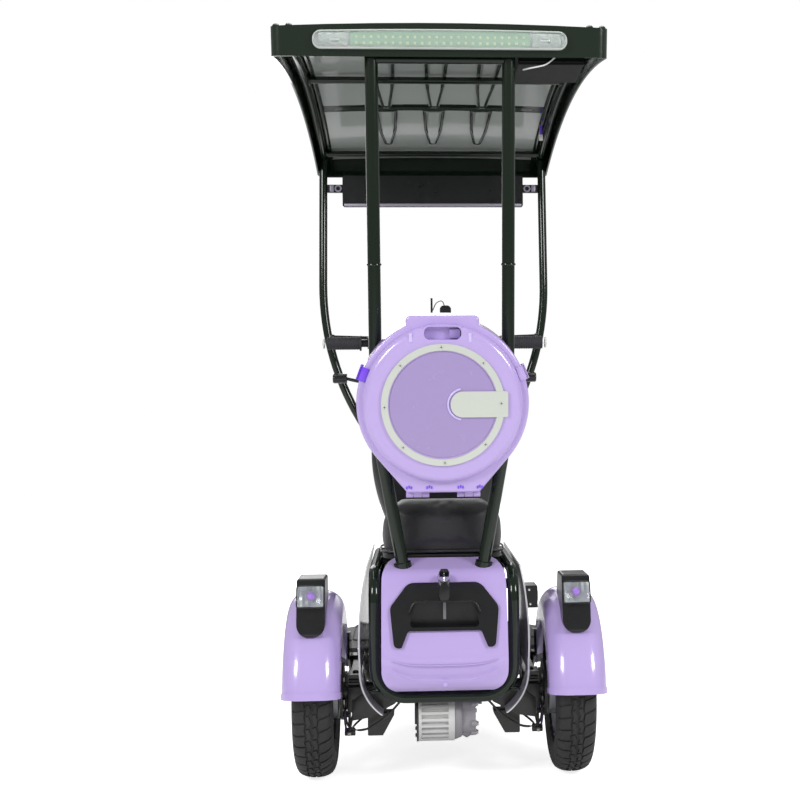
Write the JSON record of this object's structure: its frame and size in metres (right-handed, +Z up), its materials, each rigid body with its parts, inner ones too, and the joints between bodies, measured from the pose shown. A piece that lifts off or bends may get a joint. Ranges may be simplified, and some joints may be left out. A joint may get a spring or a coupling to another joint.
{
  "type": "electric tricycle",
  "caption": "Light electric tricycle with one steered front wheel, hinged saddle, round rear box with a drop lid, and an arched roof on posts.",
  "frame": {"origin": "middle of the bounding box at ground level", "axes": "+X to the vehicle's right, +Y forward, +Z up"},
  "size_m": [0.7, 1.608, 1.6849],
  "materials": {
    "tyre": "matte black rubber",
    "cast_rim": "silver cast wheel",
    "black_steel": "gloss black paint",
    "motor_alloy": "bead-blasted alloy",
    "gear_casting": "raw casting",
    "battery_case": "black case",
    "floor_plastic": "textured dark grey plastic",
    "lilac_paint": "gloss lilac paint",
    "black_plastic": "black plastic",
    "roof_plastic": "black-green roof plastic",
    "pearl_paint": "pearl white paint",
    "chrome_metal": "chrome",
    "bar_metal": "black bar",
    "grip_rubber": "ribbed rubber",
    "lens_clear": "clear lens",
    "amber_lens": "black pod with lens",
    "saddle_leather": "black leather",
    "pan_plastic": "black seat pan",
    "silver_trim": "silver painted trim",
    "violet_plastic": "violet latch"
  },
  "bodies": {
    "chassis": {"backrest_pad": "saddle_leather", "battery": "battery_case", "box_body": "lilac_paint", "brake_cables": "black_plastic", "fender_left": "lilac_paint", "fender_right": "lilac_paint", "footboard": "floor_plastic", "front_apron": "lilac_paint", "front_posts": "black_steel", "gearbox": "gear_casting", "grab_plate": "black_plastic", "headlight": "lens_clear", "indicators": "amber_lens", "lamp_lenses": "lens_clear", "leaf_springs": "black_steel", "leg_shield": "black_plastic", "lower_shield": "black_plastic", "main_frame": "black_steel", "motor": "motor_alloy", "rear_axle": "black_steel", "rear_cover": "lilac_paint", "rear_posts": "black_steel", "roof_box": "black_plastic", "roof_frame": "black_steel", "roof_light": "lens_clear", "roof_panel": "roof_plastic", "seat_frame": "black_steel", "seat_front_panel": "pearl_paint", "seat_lock": "chrome_metal", "side_panels": "pearl_paint", "spring_clamps": "black_steel", "switch_box": "black_plastic", "tail_lamps": "black_plastic", "visor": "black_plastic"},
    "wheel_rear_left": {"tyre_rear_left": "tyre", "rim_rear_left": "cast_rim"},
    "wheel_rear_right": {"tyre_rear_right": "tyre", "rim_rear_right": "cast_rim"},
    "wheel_front": {"tyre_front": "tyre", "rim_front": "cast_rim"},
    "steering": {"fork": "black_steel", "front_fender": "lilac_paint", "handlebar": "bar_metal", "stem_clamp": "black_plastic", "grips": "grip_rubber", "brake_levers": "bar_metal", "phone_holder": "black_plastic"},
    "seat": {"seat_pan": "pan_plastic", "seat_cushion": "saddle_leather"},
    "lid": {"box_lid": "lilac_paint", "lid_ring": "silver_trim", "lid_tab": "silver_trim", "lid_latches": "violet_plastic"}
  },
  "joints": [
    {"name": "rear_left_roll", "type": "hinge", "parent": "chassis", "child": "wheel_rear_left", "pos_m": [-0.286, -0.494, 0.188], "axis": [1, 0, 0], "continuous": true},
    {"name": "rear_right_roll", "type": "hinge", "parent": "chassis", "child": "wheel_rear_right", "pos_m": [0.286, -0.494, 0.188], "axis": [1, 0, 0], "continuous": true},
    {"name": "steering_turn", "type": "hinge", "parent": "chassis", "child": "steering", "pos_m": [0, 0.386, 1], "axis": [0, -0.2588, 0.9659], "range_deg": [-40, 40]},
    {"name": "front_roll", "type": "hinge", "parent": "steering", "child": "wheel_front", "pos_m": [0, 0.616, 0.188], "axis": [1, 0, 0], "continuous": true},
    {"name": "seat_tilt", "type": "hinge", "parent": "chassis", "child": "seat", "pos_m": [0, -0.094, 0.478], "axis": [-1, 0, 0], "range_deg": [0, 70]},
    {"name": "lid_open", "type": "hinge", "parent": "chassis", "child": "lid", "pos_m": [0, -0.6605, 0.64122], "axis": [1, 0, 0], "range_deg": [0, 80]}
  ]
}
